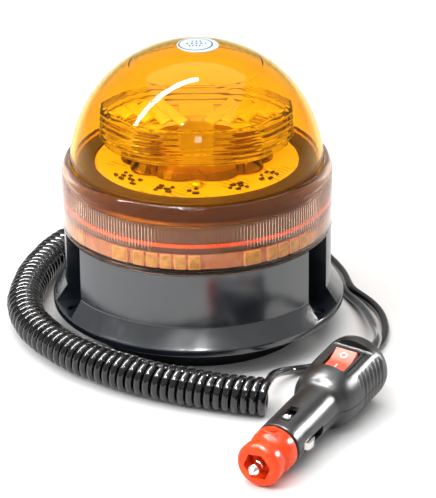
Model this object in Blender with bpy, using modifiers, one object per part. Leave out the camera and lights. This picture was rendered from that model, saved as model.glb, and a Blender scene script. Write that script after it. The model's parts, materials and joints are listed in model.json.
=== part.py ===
"""Amber LED warning beacon on a magnetic foot, with a curly lead and a lighter plug.

Metres, Z up. The origin is the centre of the foot's underside and -Y is the front.
"""

import math

import bmesh
import bpy
from mathutils import Euler, Matrix, Vector

# --- driving dimensions, metres and degrees ---
GAP = 0.0003                  # clearance between neighbouring pieces
STEPS = 48                    # sides of the large round pieces
SMALL_STEPS = 20              # sides of the small round pieces

FOOT_R = 0.0528
FLANGE_R = 0.0698
FLANGE_Z = 0.0133             # underside of the flange
FLOOR_Z = 0.0173              # inner floor
POCKET_Z = 0.0170             # floor of the screw pockets
BEVEL_Z = 0.0251              # where the sloping skirt meets the wall
WALL_R = 0.0636
WALL_T = 0.0026
WALL_TOP = 0.0518
RIM_IN_R = 0.0592             # the wall's thickened top rim

POCKET_ANGLES = (200.6, 333.1, 86.9)
POCKET_HALF = 9.0             # half the angle that a pocket spans
POCKET_IN_R = 0.0535
POCKET_WALL = 0.0018
SLOT_R = 0.0626
SLOT_LENGTH = 0.0075
SLOT_WIDTH = 0.0042

BAND_R = 0.0640               # ring lens
BAND_Z = (0.0521, 0.0798)
BAND_T = 0.0024
DOME_R = 0.0603
DOME_Z = 0.0806               # height of the dome's centre
DOME_T = 0.0022
LABEL_EDGE = 80.8             # elevation of the label's edge on the dome

DRUM_R = 0.0590
BOARD_R = 0.0482
BOARD_Z = 0.0838              # top face of the main board
POST_R = 0.0500
POST_ANGLES = (20.0, 140.0, 260.0)

OPTIC_HALF = (0.0455, 0.0310)  # half width and half depth of the clear optic
OPTIC_Z = (0.0920, 0.1095)
LOBES = 10

CORD_D = 0.0040
COIL_R = 0.0090               # outer radius of the curly part
GLAND_ANGLE = 64.0
GLAND_Z = 0.0340
GLAND_REACH = 0.0160          # how far the gland stands out of the wall

PLUG_TIP = (0.0240, -0.1699, 0.01045)
PLUG_TURN = (4.0, -3.6, 60.3)  # roll, rise and heading of the plug's axis
BARREL_R = 0.0107
ADAPTER_LENGTH = 0.0188
BODY_R = 0.0155               # the thick rear of the plug
BODY_END = 0.0996
FLAT_SPAN = (0.0682, 0.0915)
FLAT_H = 0.0119
ROCKER_S = 0.0788             # pivot of the rocker, along the plug
ROCKER_H = 0.0076             # pivot of the rocker, above the plug's axis
ROCKER_HALF = (0.0072, 0.0053)
SWITCH_SIZE = (0.0204, 0.0140, 0.0125)
ROCKER_LEAN = 10.5            # lean of the rocker when it is on
SLOT_START = 0.0240
# Each side contact's angle round the barrel, and the rear end of its slot
CONTACTS = {"top": (-1.0, 0.0360), "right": (93.0, 0.0415), "left": (213.0, 0.0415)}

# Lead from the gland down to the floor, round the rim, to the front of the curly part
LEAD_TO_BASE = (
    (0.0350, 0.0718, 0.0340), (0.0377, 0.0771, 0.0337), (0.0412, 0.0822, 0.0318),
    (0.0455, 0.0858, 0.0272), (0.0502, 0.0868, 0.0205), (0.0545, 0.0850, 0.0130),
    (0.0582, 0.0808, 0.0068), (0.0615, 0.0752, 0.0032), (0.0648, 0.0680, 0.0021),
    (0.0680, 0.0600, 0.0021), (0.0708, 0.0515, 0.0021), (0.0730, 0.0430, 0.0021),
    (0.0742, 0.0340, 0.0021),
    (0.0758, 0.0262, 0.0021), (0.0797, 0.0190, 0.0021), (0.0843, 0.0105, 0.0021),
    (0.0880, -0.0010, 0.0021), (0.0893, -0.0140, 0.0021), (0.0885, -0.0260, 0.0021),
    (0.0845, -0.0380, 0.0021), (0.0765, -0.0480, 0.0021), (0.0660, -0.0545, 0.0021),
    (0.0560, -0.0580, 0.0021), (0.0485, -0.0606, 0.0023), (0.0425, -0.0646, 0.0036),
    (0.0379, -0.0718, 0.0066), (0.0350, -0.0796, 0.0096), (0.0328, -0.0885, 0.0128),
    (0.0317, -0.0969, 0.0155), (0.0303, -0.1018, 0.0163),
)
# Centreline of the curly part, from its front end round the left to behind the base
COIL_ROUTE = (
    (0.0277, -0.1015), (0.0150, -0.0982), (0.0000, -0.0930), (-0.0225, -0.0830),
    (-0.0455, -0.0675), (-0.0645, -0.0480), (-0.0785, -0.0245), (-0.0836, -0.0020),
    (-0.0825, 0.0205), (-0.0775, 0.0430), (-0.0690, 0.0630), (-0.0590, 0.0770),
)
# Lead from the back end of the curly part, behind the base and up to the plug
LEAD_TO_PLUG = (
    (-0.0576, 0.0790, 0.0021), (-0.0541, 0.0776, 0.0021), (-0.0500, 0.0772, 0.0021),
    (-0.0430, 0.0784, 0.0021), (-0.0340, 0.0802, 0.0021), (-0.0220, 0.0817, 0.0021),
    (-0.0080, 0.0826, 0.0021), (0.0060, 0.0824, 0.0021), (0.0200, 0.0800, 0.0021),
    (0.0330, 0.0745, 0.0021), (0.0450, 0.0665, 0.0021), (0.0555, 0.0560, 0.0021),
    (0.0635, 0.0435, 0.0021), (0.0695, 0.0305, 0.0021), (0.0740, 0.0178, 0.0023),
    (0.0782, 0.0045, 0.0040), (0.0809, -0.0095, 0.0060), (0.0825, -0.0235, 0.0081),
    (0.0834, -0.0365, 0.0104), (0.0834, -0.0480, 0.0132), (0.0827, -0.0585, 0.0158),
    (0.0812, -0.0665, 0.0171), (0.0795, -0.0724, 0.0175), (0.0776, -0.0760, 0.0173),
)


def clear_scene():
    for old in list(bpy.data.objects):
        bpy.data.objects.remove(old, do_unlink=True)


def new_collection(name):
    group = bpy.data.collections.new(name)
    bpy.context.scene.collection.children.link(group)
    return group


def finish(name, colour, roughness, metallic=0.0):
    """A plain surface finish."""
    material = bpy.data.materials.new(name)
    material.use_nodes = True
    shader = material.node_tree.nodes["Principled BSDF"]
    shader.inputs["Base Color"].default_value = (*colour, 1.0)
    shader.inputs["Roughness"].default_value = roughness
    shader.inputs["Metallic"].default_value = metallic
    return material


clear_scene()
PARTS = new_collection("warning_beacon")
CUTTERS = new_collection("cutters")

BLACK = finish("black_plastic", (0.022, 0.023, 0.026), 0.42)
RUBBER = finish("black_rubber", (0.014, 0.014, 0.016), 0.62)
CORD = finish("black_cord_jacket", (0.008, 0.008, 0.009), 0.22)
AMBER = finish("amber_lens", (0.95, 0.36, 0.03), 0.08)
CLEAR = finish("clear_optic", (0.98, 0.74, 0.20), 0.05)
BROWN = finish("dark_carrier", (0.10, 0.05, 0.03), 0.45)
YELLOW = finish("white_board", (0.92, 0.80, 0.45), 0.40)
GREEN = finish("green_board", (0.03, 0.22, 0.08), 0.45)
RED = finish("red_plastic", (0.85, 0.07, 0.03), 0.28)
SILVER = finish("nickel_plate", (0.80, 0.79, 0.76), 0.22, 1.0)
STEEL = finish("zinc_steel", (0.62, 0.62, 0.60), 0.34, 1.0)
FERRITE = finish("dark_magnet", (0.05, 0.05, 0.055), 0.55, 0.3)
WHITE = finish("white_label", (0.90, 0.92, 0.94), 0.50)
GLASS = finish("fuse_glass", (0.80, 0.84, 0.82), 0.10)


def add(name, mesh, material):
    obj = bpy.data.objects.new(name, mesh)
    PARTS.objects.link(obj)
    if material:
        mesh.materials.append(material)
    return obj


def as_cutter(obj):
    PARTS.objects.unlink(obj)
    CUTTERS.objects.link(obj)
    obj.hide_render = True
    obj.display_type = "WIRE"


def combine(obj, other, operation):
    step = obj.modifiers.new(other.name, "BOOLEAN")
    step.operation = operation
    step.object = other
    if other.name in PARTS.objects:
        as_cutter(other)


def cut(obj, other):
    combine(obj, other, "DIFFERENCE")


def fuse_to(obj, other):
    combine(obj, other, "UNION")


def keep_inside(obj, other):
    combine(obj, other, "INTERSECT")


def place(obj, at=(0, 0, 0), turn=(0, 0, 0), parent=None):
    obj.location = at
    obj.rotation_euler = Euler([math.radians(a) for a in turn])
    obj.parent = parent
    return obj


def turned(name, profile, material=None, steps=STEPS):
    """A turned piece. The profile runs (radius, height), down its outer side."""
    mesh = bpy.data.meshes.new(name)
    edges = [(i, i + 1) for i in range(len(profile) - 1)]
    if profile[0][0] > 0:
        edges.append((len(profile) - 1, 0))
    mesh.from_pydata([(r, 0, z) for r, z in profile], edges, [])
    obj = add(name, mesh, material)
    screw = obj.modifiers.new("turn", "SCREW")
    screw.steps = steps
    screw.render_steps = steps
    screw.use_merge_vertices = True
    screw.merge_threshold = 0.00001
    return obj


def block(name, size, material=None):
    """A box with its scale applied, centred on its origin."""
    mesh = bpy.data.meshes.new(name)
    form = bmesh.new()
    bmesh.ops.create_cube(form, size=1.0)
    bmesh.ops.scale(form, vec=size, verts=form.verts)
    form.to_mesh(mesh)
    form.free()
    return add(name, mesh, material)


def rod(name, radius, low, high, material=None, steps=SMALL_STEPS, top_radius=None):
    """A round bar or cone along Z, from low to high."""
    mesh = bpy.data.meshes.new(name)
    form = bmesh.new()
    middle = Matrix.Translation((0, 0, (low + high) / 2))
    bmesh.ops.create_cone(form, cap_ends=True, segments=steps, radius1=radius,
                          radius2=radius if top_radius is None else top_radius,
                          depth=high - low, matrix=middle)
    form.to_mesh(mesh)
    form.free()
    return add(name, mesh, material)


def prism(name, outline, low, high, material=None):
    """A flat outline of (x, y) points, raised from low to high."""
    curve = bpy.data.curves.new(name, "CURVE")
    curve.dimensions = "2D"
    curve.fill_mode = "BOTH"
    curve.extrude = (high - low) / 2
    line = curve.splines.new("POLY")
    line.points.add(len(outline) - 1)
    for point, (x, y) in zip(line.points, outline):
        point.co = (x, y, 0, 1)
    line.use_cyclic_u = True
    return as_mesh(curve, name, material, (0, 0, (low + high) / 2))


def as_mesh(curve, name, material, shift=(0, 0, 0)):
    """The closed mesh of a curve, with its caps welded on."""
    guide = bpy.data.objects.new(name + "_guide", curve)
    PARTS.objects.link(guide)
    drawn = guide.evaluated_get(bpy.context.evaluated_depsgraph_get())
    mesh = bpy.data.meshes.new_from_object(drawn)
    bpy.data.objects.remove(guide, do_unlink=True)
    form = bmesh.new()
    form.from_mesh(mesh)
    bmesh.ops.remove_doubles(form, verts=form.verts, dist=0.00001)
    bmesh.ops.translate(form, vec=shift, verts=form.verts)
    form.to_mesh(mesh)
    form.free()
    mesh.materials.clear()
    return add(name, mesh, material)


def smooth_route(points, spacing):
    """Evenly spaced points on the smooth curve through a route's own points."""
    knots = [Vector(p) for p in points]
    knots = [2 * knots[0] - knots[1]] + knots + [2 * knots[-1] - knots[-2]]
    fine = []
    for a, b, c, d in zip(knots, knots[1:], knots[2:], knots[3:]):
        for i in range(20):
            t = i / 20
            fine.append(0.5 * (2 * b + (c - a) * t + (2 * a - 5 * b + 4 * c - d) * t * t
                               + (3 * b - a - 3 * c + d) * t ** 3))
    fine.append(knots[-2])
    travel = [0.0]
    for p, q in zip(fine, fine[1:]):
        travel.append(travel[-1] + (q - p).length)
    count = max(2, round(travel[-1] / spacing))
    route = []
    i = 0
    for k in range(count + 1):
        want = travel[-1] * k / count
        while i < len(fine) - 2 and travel[i + 1] < want:
            i += 1
        part = (want - travel[i]) / max(travel[i + 1] - travel[i], 1e-9)
        route.append(fine[i].lerp(fine[i + 1], min(part, 1.0)))
    return route


def tube(name, route, radius, material, resolution):
    curve = bpy.data.curves.new(name, "CURVE")
    curve.dimensions = "3D"
    curve.bevel_depth = radius
    curve.bevel_resolution = resolution
    curve.use_fill_caps = True
    line = curve.splines.new("POLY")
    line.points.add(len(route) - 1)
    for point, place_at in zip(line.points, route):
        point.co = (*place_at, 1)
    return as_mesh(curve, name, material)


def polar(radius, degrees, z=0.0):
    a = math.radians(degrees)
    return (radius * math.cos(a), radius * math.sin(a), z)


def arc(radius, centre, start, end, count):
    """Points (radius, height) along an arc in a turned profile, angles from the axis plane."""
    points = []
    for i in range(count + 1):
        a = math.radians(start + (end - start) * i / count)
        points.append((centre[0] + radius * math.cos(a), centre[1] + radius * math.sin(a)))
    return points


# --- magnetic foot ---

def magnetic_foot():
    top = FLANGE_Z - GAP
    turned("rubber_foot", [
        (0.0, 0.0016), (0.0495, 0.0016), (0.0495, top), (FOOT_R - 0.0004, top),
        (FOOT_R, top - 0.0006), (FOOT_R, 0.0030), (FOOT_R - 0.0012, 0.0), (0.0, 0.0),
    ], RUBBER)
    turned("magnet_ring", [
        (0.0485, 0.0078), (0.0485, 0.0020), (0.0180, 0.0020), (0.0180, 0.0078),
    ], FERRITE, 32)
    turned("magnet_pole_plate", [
        (0.0491, 0.0108), (0.0491, 0.0081), (0.0170, 0.0081), (0.0170, 0.0020),
        (0.0060, 0.0020), (0.0060, 0.0081), (0.0036, 0.0081), (0.0036, 0.0108),
    ], STEEL, 32)
    turned("magnet_spacer", [
        (0.0140, top), (0.0140, 0.0111), (0.0036, 0.0111), (0.0036, top),
    ], STEEL, SMALL_STEPS)
    turned("magnet_bolt", [
        (0.0, 0.0238), (0.0062, 0.0238), (0.0062, 0.0196), (0.0033, 0.0196),
        (0.0033, 0.0060), (0.0, 0.0060),
    ], STEEL, SMALL_STEPS)
    turned("magnet_washer", [
        (0.0080, 0.0193), (0.0080, FLOOR_Z + GAP), (0.0036, FLOOR_Z + GAP), (0.0036, 0.0193),
    ], STEEL, SMALL_STEPS)


# --- base housing ---

def pocket(name, angle, grow, low):
    """The wedge of a screw pocket, grown on every side by a wall's thickness."""
    half = math.radians(POCKET_HALF) + grow / WALL_R
    inner = POCKET_IN_R - grow
    outer = 0.080
    outline = [polar(inner, -math.degrees(half)), polar(outer, -math.degrees(half)),
               polar(outer, math.degrees(half)), polar(inner, math.degrees(half))]
    wedge = prism(name, [p[:2] for p in outline], low, 0.064)
    return place(wedge, turn=(0, 0, angle))


def slot_cutter(name, angle):
    """The long screw hole in a pocket's floor."""
    reach = (SLOT_LENGTH - SLOT_WIDTH) / 2
    outline = []
    for side, start in ((1, -90), (-1, 90)):
        for i in range(9):
            a = math.radians(start + 22.5 * i)
            outline.append((SLOT_R + side * reach + SLOT_WIDTH / 2 * math.cos(a),
                            SLOT_WIDTH / 2 * math.sin(a)))
    return place(prism(name, outline, 0.010, 0.020), turn=(0, 0, angle))


def base_housing():
    housing = turned("base_housing", [
        (0.0, WALL_TOP), (WALL_R, WALL_TOP), (WALL_R, BEVEL_Z), (FLANGE_R - 0.0010, FLOOR_Z),
        (FLANGE_R, FLOOR_Z - 0.0008), (FLANGE_R, FLANGE_Z + 0.0006),
        (FLANGE_R - 0.0006, FLANGE_Z), (0.0, FLANGE_Z),
    ], BLACK)
    hollow = turned("base_hollow", [
        (0.0, 0.060), (RIM_IN_R, 0.060), (RIM_IN_R, 0.0478), (WALL_R - WALL_T, 0.0464),
        (WALL_R - WALL_T, FLOOR_Z), (0.0, FLOOR_Z),
    ])
    for i, angle in enumerate(POCKET_ANGLES, 1):
        cut(hollow, pocket(f"pocket_wall_{i}", angle, POCKET_WALL, 0.010))
    for i, angle in enumerate(POST_ANGLES, 1):
        post = rod(f"post_{i}", 0.0042, 0.010, 0.0515, steps=16)
        cut(hollow, place(post, polar(POST_R, angle)))
    cut(housing, hollow)
    for i, angle in enumerate(POCKET_ANGLES, 1):
        cut(housing, pocket(f"pocket_{i}", angle, 0.0, POCKET_Z))
        cut(housing, slot_cutter(f"mounting_slot_{i}", angle))
    for i, angle in enumerate(POST_ANGLES, 1):
        pilot = rod(f"post_pilot_{i}", 0.0017, 0.0420, 0.060, steps=12)
        cut(housing, place(pilot, polar(POST_R, angle)))
    cut(housing, rod("bolt_hole", 0.0036, 0.0, 0.030, steps=20))
    hole = rod("gland_hole", 0.0043, 0.050, 0.070, steps=20)
    cut(housing, place(hole, (0, 0, GLAND_Z), (0, 90, GLAND_ANGLE)))


def cable_gland():
    """Rubber strain relief in the back of the wall, tapering outwards."""
    out = WALL_R + GAP
    inside = WALL_R - WALL_T - GAP - 0.0006
    gland = turned("cable_gland", [
        (0.0, WALL_R + GLAND_REACH), (0.0029, WALL_R + GLAND_REACH), (0.0036, out + 0.0030),
        (0.0060, out + 0.0028), (0.0060, out), (0.0040, out), (0.0040, inside),
        (0.0062, inside), (0.0062, inside - 0.0020), (0.0, inside - 0.0020),
    ], RUBBER, 24)
    place(gland, (0, 0, GLAND_Z), (0, 90, GLAND_ANGLE))


def gasket():
    turned("base_gasket", [
        (0.0611, WALL_TOP + 0.0016), (0.0611, WALL_TOP + GAP),
        (0.0594, WALL_TOP + GAP), (0.0594, WALL_TOP + 0.0016),
    ], RUBBER, 36)


def driver_board():
    board = block("driver_board", (0.056, 0.044, 0.0016), GREEN)
    place(board, (0, 0, 0.0300))
    parts = ((0.016, 0.009, 0.010, 0.012, 0.008), (-0.016, 0.008, 0.012, 0.010, 0.006),
             (-0.004, -0.010, 0.014, 0.009, 0.003), (0.017, -0.011, 0.007, 0.007, 0.011))
    for i, (x, y, wide, deep, high) in enumerate(parts, 1):
        chip = block(f"driver_part_{i}", (wide, deep, high))
        fuse_to(board, place(chip, (x, y, 0.0305 + high / 2)))
    corners = ((0.024, 0.018), (-0.024, 0.018), (-0.024, -0.018), (0.024, -0.018))
    for i, (x, y) in enumerate(corners, 1):
        leg = rod(f"board_spacer_{i}", 0.0026, FLOOR_Z + GAP, 0.0289, STEEL, 12)
        place(leg, (x, y, 0))


# --- drum, boards and optic ---

def inner_drum():
    """Dark drum behind the ring lens, with the lip that carries the main board."""
    drum = turned("inner_drum", [
        (0.0568, 0.0846), (0.0568, 0.0756), (DRUM_R, 0.0736), (DRUM_R, 0.0660),
        (DRUM_R + 0.0018, 0.0654), (DRUM_R + 0.0018, 0.0644), (DRUM_R, 0.0638),
        (DRUM_R, 0.0540), (0.0450, 0.0540), (0.0450, 0.0560), (0.0572, 0.0560),
        (0.0572, 0.0722), (0.0534, 0.0744), (0.0534, 0.0806), (0.0455, 0.0806),
        (0.0455, 0.0819), (BOARD_R + GAP, 0.0819), (BOARD_R + GAP, 0.0846),
    ], BROWN, 40)
    for i, angle in enumerate(POST_ANGLES, 1):
        hole = rod(f"drum_hole_{i}", 0.0018, 0.050, 0.060, steps=12)
        cut(drum, place(hole, polar(POST_R, angle)))
        screw = turned(f"drum_screw_{i}", [
            (0.0, 0.0584), (0.0022, 0.0584), (0.0030, 0.0574), (0.0030, 0.0563),
            (0.0014, 0.0563), (0.0014, 0.0440), (0.0, 0.0440),
        ], STEEL, 12)
        place(screw, polar(POST_R, angle))


def ring_board():
    """Flexible strip round the drum, with six groups of lamps facing outwards."""
    ring = turned("ring_led_board", [
        (DRUM_R + 0.0011, 0.0612), (DRUM_R + 0.0011, 0.0542),
        (DRUM_R + GAP, 0.0542), (DRUM_R + GAP, 0.0612),
    ], YELLOW)
    row = bpy.data.meshes.new("ring_lamps")
    form = bmesh.new()
    for group in range(6):
        for k in range(6):
            wide = 0.0066 if k == 0 else 0.0044
            angle = -126.0 + 60.0 * group + (0.0 if k == 0 else 3.4 + 6.2 * k)
            turn = Matrix.Rotation(math.radians(angle), 4, "Z")
            at = turn @ Matrix.Translation((DRUM_R + 0.0012, 0, 0.0577))
            lamp = bmesh.ops.create_cube(form, size=1.0)["verts"]
            bmesh.ops.scale(form, vec=(0.0018, wide, 0.0050), verts=lamp)
            bmesh.ops.transform(form, matrix=at, verts=lamp)
    form.to_mesh(row)
    form.free()
    fuse_to(ring, add("ring_lamps", row, YELLOW))


def main_board():
    thickness = 0.0016
    spreader = turned("heat_spreader", [
        (0.0, BOARD_Z - thickness - GAP), (0.0449, BOARD_Z - thickness - GAP),
        (0.0449, 0.0795), (0.0, 0.0795),
    ], STEEL, 32)
    board = rod("main_board", BOARD_R, BOARD_Z - thickness, BOARD_Z, YELLOW, STEPS)
    chips = bpy.data.meshes.new("board_parts")
    form = bmesh.new()
    for angle in (-116, -93, -66, -30, -150, 20, 80, 140):
        turn = Matrix.Rotation(math.radians(angle), 4, "Z")
        for k, wide in enumerate((0.0034, 0.0022)):
            at = turn @ Matrix.Translation((0.0405, 0.0038 * k, BOARD_Z + 0.0003))
            chip = bmesh.ops.create_cube(form, size=1.0)["verts"]
            bmesh.ops.scale(form, vec=(0.0024, wide, 0.0014), verts=chip)
            bmesh.ops.transform(form, matrix=at, verts=chip)
    form.to_mesh(chips)
    form.free()
    fuse_to(board, add("board_parts", chips, BLACK))
    for i in range(3):
        at = polar(0.0335, 30 + 120 * i)
        hole = place(rod(f"board_hole_{i + 1}", 0.0017, 0.0770, 0.0900, steps=12), at)
        cut(board, hole)
        cut(spreader, hole)
        screw = turned(f"board_screw_{i + 1}", [
            (0.0, BOARD_Z + 0.0022), (0.0018, BOARD_Z + 0.0022), (0.0027, BOARD_Z + 0.0012),
            (0.0027, BOARD_Z + GAP), (0.0013, BOARD_Z + GAP), (0.0013, 0.0780), (0.0, 0.0780),
        ], STEEL, 12)
        place(screw, at)


def lobed_outline(radius, depth, count, points):
    """A round outline with bulging lobes that meet in cusps."""
    outline = []
    for i in range(points):
        a = 2 * math.pi * i / points
        bulge = abs(math.sin(count * (a + math.pi / 2) / 2))
        r = radius - depth * (1 - bulge)
        outline.append((r * math.cos(a), r * math.sin(a)))
    return outline


def optic_outline(grow):
    """Stretched octagon of the clear optic, mirrored about both axes."""
    x, y = OPTIC_HALF
    quarter = [(x, 0.0080), (0.0335, 0.0245), (0.0216, y)]
    quarter = [(px + grow, py + grow) for px, py in quarter]
    right = quarter + [(0.0, y + grow + 0.0016)]
    back = right + [(-px, py) for px, py in right[-2::-1]]
    return back + [(-px, -py) for px, py in back]


def lofted(name, levels, material=None):
    """A solid through flat outlines of equal length, given as (outline, height) upwards."""
    mesh = bpy.data.meshes.new(name)
    form = bmesh.new()
    rings = []
    for outline, z in levels:
        rings.append([form.verts.new((x, y, z)) for x, y in outline])
    count = len(rings[0])
    for below, above in zip(rings, rings[1:]):
        for i in range(count):
            j = (i + 1) % count
            form.faces.new((below[i], below[j], above[j], above[i]))
    form.faces.new(rings[0][::-1])
    form.faces.new(rings[-1])
    form.to_mesh(mesh)
    form.free()
    return add(name, mesh, material)


def optic():
    """Lobed pedestal, lamp tower, two reflectors and the clear ribbed optic round them."""
    low = BOARD_Z + GAP
    pedestal = prism("optic_pedestal", lobed_outline(0.0285, 0.0030, LOBES, 50), low, 0.0912, CLEAR)
    cut(pedestal, rod("pedestal_bore", 0.0215, 0.080, 0.100))
    half = 0.0080
    square = [(-half, -half), (half, -half), (half, half), (-half, half)]
    tower = prism("lamp_tower", square, low, 0.1085, YELLOW)
    for i in range(4):
        for k in range(2):
            lamp = block(f"tower_lamp_{i}_{k}", (0.0012, 0.0050, 0.0050))
            turn = math.radians(90 * i)
            out = half + 0.0004
            at = (out * math.cos(turn), out * math.sin(turn), 0.0968 + 0.0072 * k)
            fuse_to(tower, place(lamp, at, (0, 0, 90 * i)))
    low_z, high_z = OPTIC_Z
    cup = lofted("optic_lens", [(optic_outline(-0.0030), low_z), (optic_outline(0.0), 0.0985),
                                (optic_outline(-0.0008), high_z)], CLEAR)
    cut(cup, lofted("optic_inside", [(optic_outline(-0.0062), low_z - 0.002),
                                     (optic_outline(-0.0034), high_z + 0.002)]))
    for side, name in ((-1, "reflector_left"), (1, "reflector_right")):
        wedge = [(0.0125, -0.0070), (0.0300, -0.0130), (0.0300, 0.0130), (0.0125, 0.0070)]
        outline = [(side * x, y) for x, y in wedge][::side]
        top = [(side * x, y * 0.55) for x, y in wedge][::side]
        lofted(name, [(outline, 0.0925), (top, 0.1060)], SILVER)


# --- lenses ---

def lenses():
    low, high = BAND_Z
    inner = BAND_R - BAND_T
    neck = DOME_R + 2 * GAP
    turned("ring_lens", [
        (neck, high + 0.0054), (neck + 0.0006, high + 0.0054), (BAND_R - 0.0013, high + 0.0044),
        (BAND_R - 0.0005, high + 0.0024), (BAND_R, high - 0.0004), (BAND_R, low), (inner, low),
        (inner, high - 0.0022), (neck, high - 0.0010),
    ], AMBER)
    outside = arc(DOME_R, (0.0, DOME_Z), 90, 0, 10)
    inside = arc(DOME_R - DOME_T, (0.0, DOME_Z), 0, 90, 7)
    outside[0] = (0.0, DOME_Z + DOME_R)
    inside[-1] = (0.0, DOME_Z + DOME_R - DOME_T)
    foot = [(DOME_R, 0.0784), (DOME_R + 0.0010, 0.0768), (DOME_R + 0.0010, 0.0752),
            (DOME_R - 0.0004, 0.0752), (DOME_R - DOME_T, 0.0772)]
    turned("dome_lens", outside + foot + inside, AMBER)
    top = arc(DOME_R + 0.0007, (0.0, DOME_Z), 90, LABEL_EDGE, 2)
    base = arc(DOME_R + GAP, (0.0, DOME_Z), LABEL_EDGE, 90, 2)
    top[0] = (0.0, DOME_Z + DOME_R + 0.0007)
    base[-1] = (0.0, DOME_Z + DOME_R + GAP)
    turned("top_label", top + base, WHITE, 24)


# --- lighter plug: local X runs from the tip to the tail, local Z is up ---

def plug_frame():
    frame = bpy.data.objects.new("plug_frame", None)
    PARTS.objects.link(frame)
    return place(frame, PLUG_TIP, PLUG_TURN)


def along(frame, obj, s=0.0, y=0.0, h=0.0):
    """Lays a turned piece along the plug's axis."""
    return place(obj, (s, y, h), (0, 90, 0), frame)


def plug_shell(name, side, frame):
    """One half of the moulded body, split at the plug's middle plane."""
    shell = turned(name, [
        (0.0, BODY_END), (0.0112, BODY_END), (0.0139, BODY_END - 0.0012),
        (BODY_R - 0.0003, BODY_END - 0.0042), (BODY_R, 0.0880), (BODY_R - 0.0004, 0.0760),
        (0.0146, 0.0680), (0.0140, 0.0632), (0.0128, 0.0593), (0.0115, 0.0570),
        (BARREL_R, 0.0550),
        (BARREL_R, ADAPTER_LENGTH + GAP), (0.0, ADAPTER_LENGTH + GAP),
    ], BLACK, 32)
    along(frame, shell)
    cavity = turned(name + "_cavity", [
        (0.0, 0.0945), (0.0128, 0.0930), (0.0128, 0.0660), (0.0086, 0.0530),
        (0.0086, 0.0240), (0.0078, 0.0234), (0.0078, 0.0100), (0.0, 0.0100),
    ], None, 24)
    along(frame, cavity)
    roof = block(name + "_roof", (0.0330, 0.040, 0.0100))
    cut(cavity, place(roof, (0.0800, 0, FLAT_H + 0.0030), parent=frame))
    cut(shell, cavity)
    middle = (FLAT_SPAN[0] + FLAT_SPAN[1]) / 2
    flat = block(name + "_flat", (FLAT_SPAN[1] - FLAT_SPAN[0], 0.040, 0.010))
    cut(shell, place(flat, (middle, 0, FLAT_H + 0.005), parent=frame))
    cut(shell, along(frame, rod(name + "_cord_hole", 0.0030, 0.090, 0.104, steps=16)))
    window = block(name + "_window", (SWITCH_SIZE[0] + 2 * GAP, SWITCH_SIZE[1] + 2 * GAP, 0.012))
    cut(shell, place(window, (ROCKER_S, 0, FLAT_H), parent=frame))
    for where, (angle, end) in CONTACTS.items():
        slot = block(f"{name}_slot_{where}", (end - SLOT_START, 0.0048, 0.008))
        turn = math.radians(angle)
        middle = (SLOT_START + end) / 2
        at = (middle, -0.0095 * math.sin(turn), 0.0095 * math.cos(turn))
        cut(shell, place(slot, at, (angle, 0, 0), frame))
    half = block(name + "_half", (0.120, 0.060, 0.030))
    keep_inside(shell, place(half, (0.050, 0, side * (0.015 + GAP / 2)), parent=frame))


def side_contacts(frame):
    """Sprung leaf contacts that stand a little proud of the barrel."""
    for where, (angle, end) in CONTACTS.items():
        root = end - 0.0012
        tail = min(root - 0.0015, 0.0345)
        outline = [(0.0248, 0.0060), (root, 0.0060), (root, 0.0072), (tail, 0.0086),
                   (tail - 0.0025, 0.0115), (tail - 0.0045, 0.0121), (0.0264, 0.0118), (0.0252, 0.0094)]
        leaf = prism(f"side_contact_{where}", outline, -0.0018, 0.0018, SILVER)
        place(leaf, (0, 0, 0), (angle + 90, 0, 0), frame)


def plug_front(frame):
    """Nose, centre pin, spring and fuse, and the red sleeve that pulls off the nose."""
    nose = turned("plug_nose", [
        (0.0044, 0.0330), (0.0044, 0.0245), (0.0074, 0.0243), (0.0074, 0.0195),
        (0.0059, 0.0192), (0.0059, 0.0068), (0.0052, 0.0060), (0.0028, 0.0060),
        (0.0028, 0.0330),
    ], RED, 24)
    along(frame, nose)
    pin = turned("contact_pin", [
        (0.0, 0.0330), (0.0025, 0.0330), (0.0025, 0.0010), (0.0021, 0.0004), (0.0021, -0.0014),
        (0.0025, -0.0020), (0.0021, -0.0038), (0.0010, -0.0052), (0.0, -0.0056),
    ], SILVER, 20)
    along(frame, pin)
    spring = turned("pin_spring", [
        (0.0026, 0.0460), (0.0026, 0.0333), (0.0016, 0.0333), (0.0016, 0.0460),
    ], STEEL, 16)
    along(frame, spring)
    fuse = turned("plug_fuse", [
        (0.0, 0.0663), (0.0026, 0.0663), (0.0026, 0.0610), (0.0024, 0.0607), (0.0024, 0.0519),
        (0.0026, 0.0516), (0.0026, 0.0463), (0.0, 0.0463),
    ], GLASS, 16)
    along(frame, fuse)
    sleeve = turned("red_adapter", [
        (0.0104, ADAPTER_LENGTH), (0.0104, 0.0108), (0.0094, 0.0098), (0.0094, 0.0084),
        (0.0104, 0.0072), (0.0104, 0.0014), (0.0092, 0.0), (0.0062, 0.0),
        (0.0062, ADAPTER_LENGTH),
    ], RED, 32)
    along(frame, sleeve)


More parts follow.
